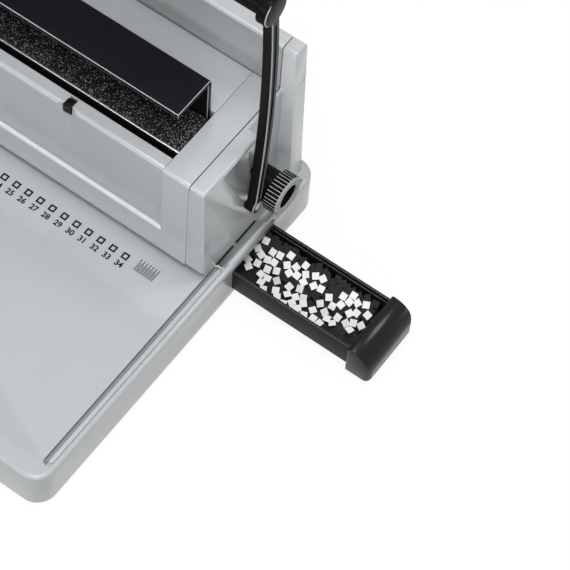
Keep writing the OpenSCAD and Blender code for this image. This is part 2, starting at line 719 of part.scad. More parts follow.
module press_racks() color(plain_steel) both_sides() {
  along_x(pinion_x, pinion_x + pinion_w) polygon(concat([[rack_back, rack_low], [rack_root, rack_low]],
    [for (i = [0:rack_teeth - 1]) let (z = pivot_z + (i - 1.5) * rack_step,
        low = tooth_mid + 1.25 * pinion_module * tan(pressure), high = tooth_mid - pinion_module * tan(pressure))
      each [[rack_root, z - low], [rack_tip, z - high], [rack_tip, z + high], [rack_root, z + low]]],
    [[rack_root, link_z + link_h], [rack_back, link_z + link_h]]));
  block([pinion_x, rack_back, link_z], [pinion_x + pinion_w, leg_y, link_z + link_h]);
  block([press_half - 14, leg_y - 6, link_z], [pinion_x + eps, leg_y, link_z + link_h]);
}

// Lever: bowed arms, crossbar and grip

arm_lean = -0.95;
bar_at = [pivot_y - arm_len * sin(arm_lean), pivot_z + arm_len * cos(arm_lean)];
bow_reach = sqrt(bow_r * bow_r - arm_len * arm_len / 4);
bow_at = [(pivot_y + bar_at[0]) / 2 - bow_reach * cos(arm_lean),
  (pivot_z + bar_at[1]) / 2 - bow_reach * sin(arm_lean)];
function from_bow(p, k) = bow_at + k * (p - bow_at);
arm_groove_w = 2.2;
arm_groove = 0.8;
eye_t = 2.2;

module bow_ring(w) intersection() {
  translate(bow_at) difference() {
    circle(bow_r + w / 2, $fn = 256);
    circle(bow_r - w / 2, $fn = 256);
  }
  polygon([bow_at, from_bow([pivot_y, pivot_z], 1.5), from_bow(bar_at, 1.5)]);
}

module lever_arm() color(black_plastic) difference() {
  along_x(arm_x, arm_out) {
    bow_ring(arm_w);
    translate([pivot_y, pivot_z]) circle(spigot_d / 2 + eye_t);
    translate(bar_at) circle(crossbar_d / 2 + 3);
  }
  along_x(arm_out - arm_groove, arm_out + 1) difference() {
    bow_ring(arm_groove_w);
    translate([pivot_y, pivot_z]) circle(arm_w);
    translate(bar_at) circle(crossbar_d);
  }
  rod_x(arm_x - 1, arm_out + 1, pivot_y, pivot_z, spigot_d / 2 + fit);
  rod_x(arm_x - 1, arm_out - 2, bar_at[0], bar_at[1], crossbar_d / 2 + fit);
}

module right_lever_arm() lever_arm();
module left_lever_arm() mirror([1, 0, 0]) lever_arm();

module lever_crossbar() color(black_plastic)
  rod_x(-arm_out + 2.1, arm_out - 2.1, bar_at[0], bar_at[1], crossbar_d / 2);

grip_half = row_half;

module lever_grip() color(rubber_grey) translate([0, bar_at[0], bar_at[1]]) rotate([0, 90, 0]) rotate_extrude()
  round_rect([crossbar_d / 2 + fit, -grip_half], [grip_d / 2, grip_half], (grip_d - crossbar_d) / 4 - 0.1);

// Wire size knob with its stop cam

dial_r = 7.7;
dial_depth = 5;
flute_r = 0.85;

module size_knob() color(black_plastic) difference() {
  union() {
    rod_x(knob_x, knob_x + knob_w - 1, knob_y, knob_z, knob_r);
    translate([knob_x + knob_w - 1, knob_y, knob_z]) rotate([0, 90, 0])
      cylinder(r1 = knob_r, r2 = knob_r - 1, h = 1);
  }
  for (i = [0:knob_flutes - 1]) let (a = i * 360 / knob_flutes)
    rod_x(knob_x - 1, knob_x + knob_w - 0.6, knob_y + (knob_r + 0.2) * cos(a), knob_z + (knob_r + 0.2) * sin(a), flute_r);
  rod_x(knob_x + knob_w - dial_depth, knob_x + knob_w + 1, knob_y, knob_z, dial_r);
  rod_x(knob_x - 1, knob_x + knob_w, knob_y, knob_z, stud_d / 2 + run);
}

module stop_cam() color(black_plastic) difference() {
  union() {
    rod_x(cover_x + plate_t + slide, knob_x, knob_y, knob_z, hub_r - 1.2);
    rod_x(cover_x + plate_t + 4, knob_x - 0.8, knob_y, knob_z, hub_r);
  }
  rod_x(cover_x, knob_x + 1, knob_y, knob_z, stud_d / 2 + run);
}

// Chip drawer, shown standing open, and its handle

handle_x = base_half + 0.7 + drawer_open;
drawer_in = handle_x - base_half - row_half - 10;
drawer_back_drop = 4;
step_h = 3;
step_t = 0.5;
handle_low = drawer_z - 4;
handle_top = drawer_top + 1.2;
handle_r = handle_len - 1.7;
handle_foot_r = 2.5;
handle_side_r = 4;
finger_wall = 3.5;
mark_r = 4;
mark_depth = 0.3;

module chip_drawer() color(black_plastic) difference() {
  block([drawer_in, drawer_y, drawer_z], [handle_x, drawer_y + drawer_w, drawer_top]);
  block([drawer_in + drawer_wall, drawer_y + drawer_wall, drawer_z + drawer_wall],
    [handle_x + eps, drawer_y + drawer_w - drawer_wall, drawer_top + eps]);
  block([drawer_in + drawer_wall, drawer_y + drawer_wall - step_t, drawer_top - step_h],
    [handle_x + eps, drawer_y + drawer_w - drawer_wall + step_t, drawer_top + eps]);
  block([drawer_in - eps, drawer_y + drawer_wall, drawer_top - drawer_back_drop],
    [drawer_in + 2 * drawer_wall, drawer_y + drawer_w - drawer_wall, drawer_top + eps]);
  // round ejector mark on the floor
  translate([handle_x - 2 * mark_r, drawer_y + 3 * mark_r, drawer_z + drawer_wall - mark_depth])
    cylinder(r = mark_r, h = drawer_h);
}

// The handle closes the drawer's end: round outside, hollow below for the fingers
module drawer_handle() color(black_plastic) difference() {
  along_y(drawer_y - handle_lip, drawer_y + drawer_w + handle_lip) difference() {
    translate([handle_x, handle_low]) square([handle_len, handle_top - handle_low]);
    corner_off([handle_x + handle_len, handle_top], [-1, -1], handle_r);
    corner_off([handle_x + handle_len, handle_low], [-1, 1], handle_foot_r);
    corner_off([handle_x, handle_top], [1, -1], drawer_wall);
  }
  along_z(handle_low - 1, handle_top + 1) {
    corner_off([handle_x + handle_len, drawer_y - handle_lip], [-1, 1], handle_side_r);
    corner_off([handle_x + handle_len, drawer_y + drawer_w + handle_lip], [-1, -1], handle_side_r);
  }
  block([handle_x + finger_wall, drawer_y + finger_wall, handle_low - 1],
    [handle_x + handle_len - finger_wall, drawer_y + drawer_w - finger_wall, drawer_z + drawer_wall]);
}

// Edge guide on the tray

guide_wall = 3;
guide_lift = 0.2;
flange_w = 18;
flange_t = 2.2;
tongue_len = 16;
keeper_t = 2.5;

module edge_guide() color(black_plastic) {
  along_y(guide_y - guide_len / 2, guide_y + guide_len / 2) difference() {
    union() {
      translate([guide_x - guide_wall, tray_z + guide_lift]) square([guide_wall, guide_h]);
      translate([guide_x - flange_w, tray_z + guide_lift]) square([flange_w, flange_t]);
    }
    corner_off([guide_x - guide_wall, tray_z + guide_lift + guide_h], [1, -1], guide_wall / 2 - 0.1);
  }
  block([guide_slot_x - tongue_len / 2, guide_y - guide_slot_w / 2 + slide, tray_z - base_wall - keeper_t],
    [guide_slot_x + tongue_len / 2, guide_y + guide_slot_w / 2 - slide, tray_z + guide_lift + eps]);
  block([guide_slot_x - tongue_len / 2, guide_y - guide_slot_w, tray_z - base_wall - keeper_t],
    [guide_slot_x + tongue_len / 2, guide_y + guide_slot_w, tray_z - base_wall - slide]);
}

base_tray();
bottom_plate();
rubber_feet();
bottom_screws();
drawer_rails();
die_plate();
punch_guide();
back_stop();
right_side_frame();
left_side_frame();
tie_rods();
shaft_bushes();
knob_stud();
housing();
front_cover();
top_cover();
rear_cover();
right_end_cover();
left_end_cover();
wire_slot();
wire_bed();
bed_edge();
drive_shaft();
punch_cams();
press_pinions();
right_lever_arm();
left_lever_arm();
lever_crossbar();
lever_grip();
punch_bar();
punch_pins();
return_springs();
press_bar();
press_racks();
size_knob();
stop_cam();
chip_drawer();
drawer_handle();
edge_guide();
cover_latch();
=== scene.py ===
"""Wire binding machine: finishes, printed scale, paper chips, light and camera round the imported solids."""
import json
import math
import random
import bmesh
import bpy
from mathutils import Matrix, Vector

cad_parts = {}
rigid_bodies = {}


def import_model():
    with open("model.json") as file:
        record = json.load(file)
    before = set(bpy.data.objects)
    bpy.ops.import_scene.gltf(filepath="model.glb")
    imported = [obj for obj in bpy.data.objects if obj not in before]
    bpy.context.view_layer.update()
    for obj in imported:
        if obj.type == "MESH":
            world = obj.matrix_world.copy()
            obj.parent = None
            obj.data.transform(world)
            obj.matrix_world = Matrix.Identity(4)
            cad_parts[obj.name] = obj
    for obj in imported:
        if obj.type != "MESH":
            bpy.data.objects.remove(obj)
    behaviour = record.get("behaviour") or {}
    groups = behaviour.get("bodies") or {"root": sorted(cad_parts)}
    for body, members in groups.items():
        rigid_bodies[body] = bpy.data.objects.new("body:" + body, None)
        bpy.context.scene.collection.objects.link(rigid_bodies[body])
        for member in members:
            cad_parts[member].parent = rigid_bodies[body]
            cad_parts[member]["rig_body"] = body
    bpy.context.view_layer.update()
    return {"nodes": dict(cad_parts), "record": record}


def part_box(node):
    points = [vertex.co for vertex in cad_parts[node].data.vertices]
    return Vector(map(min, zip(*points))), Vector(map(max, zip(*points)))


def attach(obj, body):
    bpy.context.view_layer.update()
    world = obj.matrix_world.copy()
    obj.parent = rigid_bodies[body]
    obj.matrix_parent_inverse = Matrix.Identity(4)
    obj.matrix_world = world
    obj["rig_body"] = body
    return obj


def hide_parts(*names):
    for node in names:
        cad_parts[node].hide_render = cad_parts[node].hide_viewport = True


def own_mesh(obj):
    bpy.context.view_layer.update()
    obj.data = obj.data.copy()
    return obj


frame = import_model()
nodes = frame["nodes"]

MM = 0.001


def deselect_all():
    if bpy.context.mode != "OBJECT":
        bpy.ops.object.mode_set(mode="OBJECT")
    bpy.ops.object.select_all(action="DESELECT")


def pick(piece):
    deselect_all()
    piece.select_set(True)
    bpy.context.view_layer.objects.active = piece


def join(pieces, name):
    deselect_all()
    for piece in pieces:
        piece.select_set(True)
    bpy.context.view_layer.objects.active = pieces[0]
    if len(pieces) > 1:
        bpy.ops.object.join()
    joined = bpy.context.object
    joined.name = name
    bpy.ops.object.transform_apply(location=True, rotation=True, scale=True)
    return joined


def copy_mesh(piece):
    twin = piece.copy()
    twin.data = piece.data.copy()
    bpy.context.scene.collection.objects.link(twin)
    return twin


def apply_modifier(piece, kind, **settings):
    pick(piece)
    modifier = piece.modifiers.new(kind.lower(), kind)
    for key, value in settings.items():
        setattr(modifier, key, value)
    bpy.ops.object.modifier_apply(modifier=modifier.name)


def dress(piece, material):
    piece.data.materials.clear()
    piece.data.materials.append(material)


# Shader groups that several finishes share

def new_group(name, inputs, outputs):
    group = bpy.data.node_groups.new(name, "ShaderNodeTree")
    for label, kind, value in inputs:
        socket = group.interface.new_socket(label, in_out="INPUT", socket_type=kind)
        if value is not None:
            socket.default_value = value
    for label, kind in outputs:
        group.interface.new_socket(label, in_out="OUTPUT", socket_type=kind)
    entry = group.nodes.new("NodeGroupInput")
    leave = group.nodes.new("NodeGroupOutput")
    return group, entry, leave


def add(tree, kind, links=(), **settings):
    """A node with settings; links are (input name or index, source socket or constant)."""
    node = tree.nodes.new(kind)
    for key, value in settings.items():
        setattr(node, key, value)
    for slot, source in links:
        if isinstance(source, bpy.types.NodeSocket):
            tree.links.new(source, node.inputs[slot])
        else:
            node.inputs[slot].default_value = source
    return node


def calc(tree, operation, *values):
    """The result of a math node on sockets or constants."""
    return add(tree, "ShaderNodeMath", enumerate(values), operation=operation).outputs[0]


def slide(tree, value, start, end, low=0.0, high=1.0):
    """Goes from low to high as the value goes from start to end."""
    node = add(tree, "ShaderNodeMapRange", [("Value", value), ("From Min", start), ("From Max", end),
               ("To Min", low), ("To Max", high)])
    return node.outputs["Result"]


def set_sockets(node, **values):
    """Sets a node's inputs by label, with _ for a blank."""
    for label, value in values.items():
        node.inputs[label.replace("_", " ")].default_value = value


def grain_group():
    """Fine moulded or painted grain: a mask round 0.5 and the same as a height."""
    group, entry, leave = new_group(
        "fine grain",
        [("Vector", "NodeSocketVector", None), ("Scale", "NodeSocketFloat", 1500.0),
         ("Patch scale", "NodeSocketFloat", 12.0), ("Patch share", "NodeSocketFloat", 0.5)],
        [("Mask", "NodeSocketFloat"), ("Height", "NodeSocketFloat")])
    fine = add(group, "ShaderNodeTexNoise", [("Vector", entry.outputs["Vector"]),
               ("Scale", entry.outputs["Scale"]), ("Detail", 3.0), ("Roughness", 0.6)])
    patch = add(group, "ShaderNodeTexNoise", [("Vector", entry.outputs["Vector"]),
                ("Scale", entry.outputs["Patch scale"]), ("Detail", 4.0)])
    mixed = add(group, "ShaderNodeMix", [("Factor", entry.outputs["Patch share"]),
                (2, fine.outputs["Fac"]), (3, patch.outputs["Fac"])], data_type="FLOAT")
    group.links.new(mixed.outputs[0], leave.inputs["Mask"])
    group.links.new(fine.outputs["Fac"], leave.inputs["Height"])
    return group


def speck_group():
    """Bright grains on a dark coat: some cells of a Voronoi pattern light up."""
    group, entry, leave = new_group(
        "bright specks",
        [("Vector", "NodeSocketVector", None), ("Scale", "NodeSocketFloat", 900.0),
         ("Share", "NodeSocketFloat", 0.35), ("Grain size", "NodeSocketFloat", 0.55)],
        [("Mask", "NodeSocketFloat"), ("Height", "NodeSocketFloat")])
    cells = add(group, "ShaderNodeTexVoronoi", [("Vector", entry.outputs["Vector"]),
                ("Scale", entry.outputs["Scale"]), ("Randomness", 1.0)])
    tint = add(group, "ShaderNodeSeparateColor", [("Color", cells.outputs["Color"])])
    chosen = slide(group, tint.outputs["Red"], entry.outputs["Share"], 0.0)
    near = slide(group, cells.outputs["Distance"], entry.outputs["Grain size"], 0.1)
    group.links.new(calc(group, "MULTIPLY", chosen, near), leave.inputs["Mask"])
    group.links.new(near, leave.inputs["Height"])
    return group


def brushed_group():
    """Long fine lines along X, as on ground or brushed steel."""
    group, entry, leave = new_group(
        "brushed lines", [("Vector", "NodeSocketVector", None), ("Scale", "NodeSocketFloat", 900.0)],
        [("Mask", "NodeSocketFloat")])
    stretch = add(group, "ShaderNodeMapping", [("Vector", entry.outputs["Vector"]), ("Scale", (0.02, 1.0, 1.0))])
    lines = add(group, "ShaderNodeTexNoise", [("Vector", stretch.outputs["Vector"]),
                ("Scale", entry.outputs["Scale"]), ("Detail", 2.0)])
    group.links.new(lines.outputs["Fac"], leave.inputs["Mask"])
    return group


GRAIN = grain_group()
SPECKS = speck_group()
BRUSHED = brushed_group()


# Part of a pattern's mask over which colour and roughness change
MASK_RANGE = (0.3, 0.7)


def place_group(tree, group, place, **values):
    """A shared shader group in the object's coordinates."""
    node = add(tree, "ShaderNodeGroup", node_tree=group)
    tree.links.new(place, node.inputs["Vector"])
    set_sockets(node, **values)
    return node


def new_finish(name):
    """A new material with its node tree, shader and object coordinates."""
    material = bpy.data.materials.new(name)
    material.use_nodes = True
    tree = material.node_tree
    shader = tree.nodes["Principled BSDF"]
    place = add(tree, "ShaderNodeTexCoord").outputs["Object"]
    return material, tree, shader, place


def ramp(tree, mask, low, high, start=MASK_RANGE[0], end=MASK_RANGE[1]):
    """A colour that goes from low to high as the mask goes from start to end."""
    node = add(tree, "ShaderNodeValToRGB", [("Fac", mask)])
    node.color_ramp.elements[0].position = start
    node.color_ramp.elements[0].color = (*low, 1.0)
    node.color_ramp.elements[1].position = end
    node.color_ramp.elements[1].color = (*high, 1.0)
    return node.outputs["Color"]


def span(tree, mask, low, high):
    """A value that goes from low to high with a pattern's mask."""
    return slide(tree, mask, *MASK_RANGE, low, high)


def bump(tree, shader, height, strength, distance):
    node = add(tree, "ShaderNodeBump", [("Height", height), ("Strength", strength), ("Distance", distance)])
    tree.links.new(node.outputs["Normal"], shader.inputs["Normal"])


def fine_grain(tree, shader, place, rough, scale, relief, patch_share=0.5):
    """Fine grain in roughness and relief; returns its mask for the colour."""
    grain = place_group(tree, GRAIN, place, Scale=scale, Patch_share=patch_share)
    tree.links.new(span(tree, grain.outputs["Mask"], *rough), shader.inputs["Roughness"])
    bump(tree, shader, grain.outputs["Height"], *relief)
    return grain.outputs["Mask"]


def grained(name, low, high, rough, scale, relief, patch_share=0.5, **sockets):
    """A painted, moulded or rubber finish with fine grain."""
    material, tree, shader, place = new_finish(name)
    mask = fine_grain(tree, shader, place, rough, scale, relief, patch_share)
    tree.links.new(ramp(tree, mask, low, high), shader.inputs["Base Color"])
    set_sockets(shader, **sockets)
    return material


def steel(name, low, high, rough):
    """A bare metal with fine lines along X."""
    material, tree, shader, place = new_finish(name)
    mask = place_group(tree, BRUSHED, place).outputs["Mask"]
    tree.links.new(ramp(tree, mask, low, high), shader.inputs["Base Color"])
    tree.links.new(span(tree, mask, *rough), shader.inputs["Roughness"])
    bump(tree, shader, mask, 0.15, 0.00005)
    set_sockets(shader, Metallic=1.0)
    return material


def crinkle_coat():
    """Black crinkle coat of the wire bed with bright grains."""
    material, tree, shader, place = new_finish("crinkle coat")
    specks = place_group(tree, SPECKS, place, Scale=1500.0, Share=1.0, Grain_size=0.65)
    tree.links.new(ramp(tree, specks.outputs["Mask"], (0.004, 0.004, 0.005), (0.62, 0.63, 0.65), 0.28, 0.8),
                   shader.inputs["Base Color"])
    tree.links.new(span(tree, specks.outputs["Height"], 0.6, 0.35), shader.inputs["Roughness"])
    bump(tree, shader, specks.outputs["Height"], 0.6, 0.0003)
    set_sockets(shader, Specular_IOR_Level=0.15)
    return material


def blend(tree, share, low, high):
    """A colour between two, by the share of the second."""
    return add(tree, "ShaderNodeMix", [("Factor", share), (6, low), (7, high)], data_type="RGBA").outputs[2]


def above(tree, value, limit):
    return calc(tree, "GREATER_THAN", value, limit)


def below(tree, value, limit):
    return calc(tree, "LESS_THAN", value, limit)


def all_of(tree, *masks):
    """1 where all the masks are 1."""
    total = masks[0]
    for mask in masks[1:]:
        total = calc(tree, "MULTIPLY", total, mask)
    return total


def within(tree, value, low, high):
    """1 where the value is between two limits."""
    return all_of(tree, above(tree, value, low), below(tree, value, high))


# Satin silver paint: darkest and lightest tone, then roughness, grain scale, relief and share of patches
SILVER_PAINT = ((0.425, 0.445, 0.455), (0.455, 0.475, 0.485))
PANEL_PAINT = ((0.387, 0.407, 0.419), (0.415, 0.435, 0.447))
BASE_PAINT = ((0.37, 0.388, 0.397), (0.397, 0.415, 0.424))
# Lighter paint of the rounded silver edges, a painted highlight
EDGE_HIGHLIGHT_PAINT = ((0.52, 0.54, 0.55), (0.58, 0.60, 0.61))
SILVER_GRAIN = ((0.30, 0.38), 4200.0, (0.04, 0.00003), 0.35)
EDGE_HIGHLIGHT_GRAIN = ((0.26, 0.34), *SILVER_GRAIN[1:])
SILVER_COAT = {"Specular_IOR_Level": 0.25, "Coat_Weight": 1.0, "Coat_Roughness": 0.2}
EDGE_HIGHLIGHT_COAT = {"Specular_IOR_Level": 0.3, "Coat_Weight": 0.8, "Coat_Roughness": 0.12}

# Zones of the base: across from its outer side, along from its front, and down from its top
RIM_ALONG = (12.0 * MM, 163.4 * MM)
GROOVE = (6.08 * MM, 8.62 * MM)
GROOVE_DEPTH = (0.25 * MM, 1.5 * MM)
GROOVE_SHADE_SPREAD = (0.1 * MM, 0.6 * MM)
TONGUE = (4.0 * MM, 5.8 * MM)
TONGUE_DEPTH = 0.12 * MM
HOLLOW = (3.0 * MM, 9.2 * MM)
HOLLOW_ALONG = (164.2 * MM, 203.0 * MM)
HOLLOW_DEPTH = (0.04 * MM, 2.4 * MM)
HOLLOW_SHADE = (3.9 * MM, 6.2 * MM)
LIP = (2.7 * MM, 4.2 * MM)
LIP_ALONG = (168.4 * MM, 203.0 * MM)
WALL_SHADE_FADE = (1.9 * MM, 1.2 * MM)

# Tones of these zones: painted shade in the groove, hollow and wall, painted highlights on tongue and lip; the
# hollow's shade is given at its front and rear, the wall's at the drawer's front and rear
GROOVE_SHADE = ((0.26, 0.27, 0.275), (0.12, 0.125, 0.13))
TONGUE_HIGHLIGHT = (0.4, 0.415, 0.42, 1.0)
HOLLOW_SHADE_TONE = (0.07, 0.073, 0.076, 1.0)
LIP_HIGHLIGHT = (0.7, 0.715, 0.72, 1.0)
WALL_SHADE = (0.06, 0.06, 0.06, 1.0)
SHADE_MOST = 0.9
SHADE_ALONG = (1.0, 0.3)
WALL_SHADE_ALONG = (0.1, 0.95)


def base_finish():
    """Silver base with painted shade in the groove, a painted highlight on the tongue, painted shade in the hollow and
    a painted highlight on the lip beside the end covers, and painted shade on the wall beside the drawer.
    """
    material, tree, shader, place = new_finish("satin silver base")
    low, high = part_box("base_tray")
    drawer_low, drawer_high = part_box("chip_drawer")
    axes = add(tree, "ShaderNodeSeparateXYZ", [("Vector", place)]).outputs
    inward = calc(tree, "SUBTRACT", high.x, calc(tree, "ABSOLUTE", axes["X"]))
    along = calc(tree, "SUBTRACT", axes["Y"], low.y)
    depth = calc(tree, "SUBTRACT", high.z, axes["Z"])
    drawer_width = (drawer_low.y, drawer_high.y)

    on_rim = within(tree, along, *RIM_ALONG)
    in_groove = all_of(tree, on_rim, within(tree, depth, *GROOVE_DEPTH), within(tree, inward, *GROOVE))
    # The tongue's top gets a painted highlight
    on_tongue = all_of(tree, on_rim, below(tree, depth, TONGUE_DEPTH), within(tree, inward, *TONGUE))
    in_hollow = all_of(tree, within(tree, along, *HOLLOW_ALONG), within(tree, depth, *HOLLOW_DEPTH),
                       within(tree, inward, *HOLLOW))
    # Painted shade in the hollow, darker towards the end cover and towards the front
    shade = all_of(tree, in_hollow, slide(tree, inward, *HOLLOW_SHADE, 0.0, SHADE_MOST),
                   slide(tree, along, RIM_ALONG[1], HOLLOW_ALONG[1], *SHADE_ALONG))
    # Painted highlight on the lip's crest beside the end covers
    on_lip = all_of(tree, within(tree, along, *LIP_ALONG), within(tree, inward, *LIP))
    # Painted shade on the outer wall beside the drawer, stronger towards the drawer's rear
    wall_shade = all_of(tree, within(tree, axes["Y"], *drawer_width), above(tree, axes["X"], 0.0),
                     slide(tree, axes["Y"], *drawer_width, *WALL_SHADE_ALONG), slide(tree, inward, *WALL_SHADE_FADE))

    # Painted shade in the groove: darkest at its walls, paler in its middle
    off_middle = calc(tree, "ABSOLUTE", calc(tree, "SUBTRACT", inward, sum(GROOVE) / 2))
    groove_shade = ramp(tree, slide(tree, off_middle, *GROOVE_SHADE_SPREAD), *GROOVE_SHADE, 0.0, 1.0)
    mask = fine_grain(tree, shader, place, *SILVER_GRAIN)
    colour = ramp(tree, mask, *BASE_PAINT)
    for share, tone in ((in_groove, groove_shade), (on_tongue, TONGUE_HIGHLIGHT), (shade, HOLLOW_SHADE_TONE), (on_lip, LIP_HIGHLIGHT),
                        (wall_shade, WALL_SHADE)):
        colour = blend(tree, share, colour, tone)
    tree.links.new(colour, shader.inputs["Base Color"])
    # Where the hollow's shade is painted, its sheen is taken away too
    tree.links.new(span(tree, shade, 0.25, 0.03), shader.inputs["Specular IOR Level"])
    tree.links.new(span(tree, shade, 0.6, 0.0), shader.inputs["Coat Weight"])
    set_sockets(shader, Coat_Roughness=0.13)
    return material


# Front face of the rear column, from the back of an end cover, and the paler tone painted on it as painted light
COLUMN_FRONT = (10.3 * MM, 10.7 * MM)
COLUMN_PAINTED_LIGHT = (0.72, 0.745, 0.76, 1.0)


def cover_finish():
    """Silver end cover with painted light: paler on the sheltered front of its rear column."""
    material, tree, shader, place = new_finish("satin silver cover")
    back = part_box("right_end_cover")[1].y
    along = add(tree, "ShaderNodeSeparateXYZ", [("Vector", place)]).outputs["Y"]
    on_column = within(tree, calc(tree, "SUBTRACT", back, along), *COLUMN_FRONT)
    mask = fine_grain(tree, shader, place, *SILVER_GRAIN)
    colour = blend(tree, on_column, ramp(tree, mask, *SILVER_PAINT), COLUMN_PAINTED_LIGHT)
    tree.links.new(colour, shader.inputs["Base Color"])
    set_sockets(shader, **SILVER_COAT)
    return material


# Knob: the wave round its flutes lies under the limit on a thin line along each crest, which gets a painted highlight
KNOB_FLUTES = 34
CREST_LIMIT = -0.945
CREST_HIGHLIGHT = (0.68, 0.69, 0.7, 1.0)
RING_TONE = (0.34, 0.355, 0.36, 1.0)
KNOB_FACE_DEPTH = 1.05 * MM
KNOB_RIM_DEPTH = 0.5 * MM


def knob_finish():
    """Black fluted knob with painted highlights on its crests, whose outer face is a grey ring."""
    material, tree, shader, place = new_finish("knob black and grey")
    low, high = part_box("size_knob")
    level = add(tree, "ShaderNodeVectorMath", [(0, place), (1, (low + high) / 2)], operation="SUBTRACT").outputs[0]
    axes = add(tree, "ShaderNodeSeparateXYZ", [("Vector", level)]).outputs
    turn = calc(tree, "ARCTAN2", axes["Z"], axes["Y"])
    wave = calc(tree, "COSINE", calc(tree, "MULTIPLY", turn, float(KNOB_FLUTES)))
    across = add(tree, "ShaderNodeVectorMath", [(0, level), (1, (0.0, 1.0, 1.0))], operation="MULTIPLY").outputs[0]
    radius = add(tree, "ShaderNodeVectorMath", [(0, across)], operation="LENGTH").outputs["Value"]
    on_rim = above(tree, radius, (high.z - low.z) / 2 - KNOB_RIM_DEPTH)
    on_crest = all_of(tree, on_rim, below(tree, wave, CREST_LIMIT))
    on_face = above(tree, axes["X"], (high.x - low.x) / 2 - KNOB_FACE_DEPTH)
    mask = fine_grain(tree, shader, place, (0.34, 0.46), 2500.0, (0.1, 0.00003))
    black = ramp(tree, mask, (0.004, 0.004, 0.005), (0.008, 0.008, 0.009))
    flutes = blend(tree, on_crest, black, CREST_HIGHLIGHT)
    tree.links.new(blend(tree, on_face, flutes, RING_TONE), shader.inputs["Base Color"])
    set_sockets(shader, Specular_IOR_Level=0.04)
    return material


SILVER = grained("satin silver paint", *SILVER_PAINT, *SILVER_GRAIN, **SILVER_COAT)
SILVER_PANEL = grained("satin silver panel", *PANEL_PAINT, *SILVER_GRAIN, **SILVER_COAT)
# Rounded silver edges get a painted highlight
SILVER_EDGE_HIGHLIGHT = grained("painted highlight on silver edges", *EDGE_HIGHLIGHT_PAINT, *EDGE_HIGHLIGHT_GRAIN, **EDGE_HIGHLIGHT_COAT)
BLACK_PLASTIC = grained("black moulding", (0.005, 0.005, 0.006), (0.010, 0.010, 0.012), (0.36, 0.48), 2600.0,
                        (0.12, 0.00005), 0.4, Specular_IOR_Level=0.12)
BLACK_GLOSS = grained("black gloss coat", (0.004, 0.004, 0.005), (0.008, 0.008, 0.009), (0.2, 0.3), 1200.0,
                      (0.06, 0.00004), 0.6, Specular_IOR_Level=0.04)
BLACK_SATIN = grained("black satin coat", (0.004, 0.004, 0.006), (0.008, 0.008, 0.010), (0.36, 0.46), 1800.0,
                      (0.1, 0.00004), 0.5, Specular_IOR_Level=0.05)
BLACK_SHINE = grained("polished black moulding", (0.004, 0.004, 0.005), (0.007, 0.007, 0.008), (0.13, 0.19), 1500.0,
                      (0.05, 0.00004), 0.6, Specular_IOR_Level=0.2)
# Painted highlight for the edges of the black press bar and the lever arms' fronts
BLACK_EDGE_HIGHLIGHT = grained("painted highlight on black coat edges", (0.34, 0.35, 0.37), (0.42, 0.43, 0.45), (0.3, 0.4), 1500.0,
                     (0.05, 0.00003), 0.7)
# Dim painted highlight for the drawer's edges and behind the lever arms' groove
DIM_EDGE_HIGHLIGHT = grained("dim painted highlight on black edges", (0.06, 0.062, 0.066), (0.1, 0.102, 0.106), (0.3, 0.4), 1500.0,
                    (0.05, 0.00003), 0.7, Specular_IOR_Level=0.3)
FOAM = grained("grip foam", (0.012, 0.012, 0.012), (0.03, 0.03, 0.03), (0.8, 0.95), 900.0, (0.5, 0.0002), 0.3)
RUBBER = grained("foot rubber", (0.015, 0.015, 0.015), (0.03, 0.03, 0.03), (0.7, 0.85), 1400.0, (0.3, 0.0001))
BRONZE = steel("sintered bronze", (0.42, 0.30, 0.14), (0.55, 0.42, 0.22), (0.35, 0.5))
BRIGHT_STEEL = steel("ground steel", (0.62, 0.63, 0.64), (0.78, 0.79, 0.8), (0.18, 0.32))
SHAFT_STEEL = steel("dull shaft steel", (0.48, 0.49, 0.50), (0.56, 0.57, 0.58), (0.5, 0.6))
POLISHED_EDGE = steel("polished edge", (0.80, 0.81, 0.82), (0.86, 0.87, 0.88), (0.3, 0.36))
PLAIN_STEEL = steel("zinc plate", (0.42, 0.44, 0.46), (0.58, 0.6, 0.62), (0.32, 0.5))
CRINKLE = crinkle_coat()
KNOB = knob_finish()
BASE = base_finish()
COVER = cover_finish()
WHITE_PAPER = grained("white paper", (0.66, 0.665, 0.68), (0.77, 0.775, 0.785), (0.85, 0.95), 1800.0, (0.1, 0.00003))
BLACK_PAPER = grained("black card", (0.010, 0.010, 0.012), (0.02, 0.02, 0.022), (0.6, 0.8), 1800.0, (0.1, 0.00003),
                      Specular_IOR_Level=0.15)
INK = grained("printing ink", (0.006, 0.006, 0.008), (0.012, 0.012, 0.014), (0.5, 0.6), 3000.0, (0.03, 0.00002),
              Specular_IOR_Level=0.1)

# Finish by material slot, and the nodes that differ from their slot
FINISHES = {"silver": SILVER, "black_plastic": BLACK_PLASTIC, "black_steel": BLACK_SATIN, "bed_coat": CRINKLE,
            "grip": FOAM, "bright_steel": BRIGHT_STEEL, "plain_steel": PLAIN_STEEL, "bronze": BRONZE,
            "rubber": RUBBER}
SPECIAL = {"base_tray": BASE, "right_end_cover": COVER, "left_end_cover": COVER, "front_cover": SILVER_PANEL,
           "size_knob": KNOB, "right_lever_arm": BLACK_GLOSS, "left_lever_arm": BLACK_GLOSS,
           "lever_crossbar": BLACK_GLOSS, "bed_edge": POLISHED_EDGE, "drive_shaft": SHAFT_STEEL,
           "drawer_handle": BLACK_SHINE, "cover_latch": BLACK_SHINE, "stop_cam": BLACK_GLOSS}
SLOT_OF = {part["node"]: part["material_slot"] for part in frame["record"]["subparts"]}


def finish_nodes():
    """Gives each CAD node its finish."""
    for name, piece in nodes.items():
        dress(piece, SPECIAL.get(name, FINISHES[SLOT_OF[name]]))


